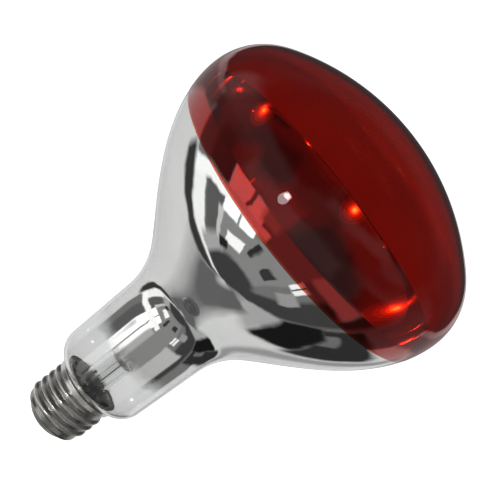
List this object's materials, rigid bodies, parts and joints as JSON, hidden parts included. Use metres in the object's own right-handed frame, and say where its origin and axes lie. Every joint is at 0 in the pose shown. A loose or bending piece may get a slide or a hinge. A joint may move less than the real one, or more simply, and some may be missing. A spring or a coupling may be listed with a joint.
{
  "type": "infrared reflector heat lamp",
  "caption": "Red-faced infrared reflector heat lamp: blown glass bulb silvered inside its cone, clear neck with the stem, and a nickel-plated E27 screw cap.",
  "frame": {"origin": "tip of the centre contact, on the lamp axis", "axes": "+Z along the lamp axis from the cap to the red face; +X and +Y across it, the side solder lying 110 degrees from +X, through +Y. In use the lamp usually hangs with +Z down."},
  "size_m": [0.127, 0.127, 0.1758],
  "materials": {
    "clear_glass": "clear blown hard glass",
    "mirror_film": "evaporated aluminium, bright",
    "red_coat": "glossy dark ruby, transparent",
    "nickel_shell": "nickel-plated brass, semi-bright",
    "black_vitrite": "glossy black insulating glass",
    "tinned_contact": "tinned brass",
    "solder": "dull tin-lead grey with a frosty skin",
    "cement": "baked cement, matt",
    "stem_glass": "clear lead glass",
    "tungsten": "coiled tungsten wire, grey",
    "copper_wire": "bare copper wire",
    "seal_wire": "borated copper-clad wire, brick red",
    "nickel_wire": "nickel wire, satin",
    "molybdenum_wire": "drawn molybdenum wire"
  },
  "bodies": {
    "root": {"bulb_glass": "clear_glass", "mirror_film": "mirror_film", "red_filter_coat": "red_coat", "screw_shell": "nickel_shell", "cap_insulator": "black_vitrite", "centre_contact": "tinned_contact", "contact_solder": "solder", "side_solder": "solder", "basing_cement": "cement", "stem_tube": "stem_glass", "exhaust_tube": "stem_glass", "arbor_rod": "stem_glass", "arbor_button": "stem_glass", "filament": "tungsten", "side_outer_lead": "copper_wire", "centre_outer_lead": "copper_wire", "side_seal_wire": "seal_wire", "centre_seal_wire": "seal_wire", "side_inner_lead": "nickel_wire", "centre_inner_lead": "nickel_wire", "filament_support_1": "molybdenum_wire", "filament_support_2": "molybdenum_wire", "filament_support_3": "molybdenum_wire", "filament_support_4": "molybdenum_wire", "filament_support_5": "molybdenum_wire"}
  },
  "joints": []
}
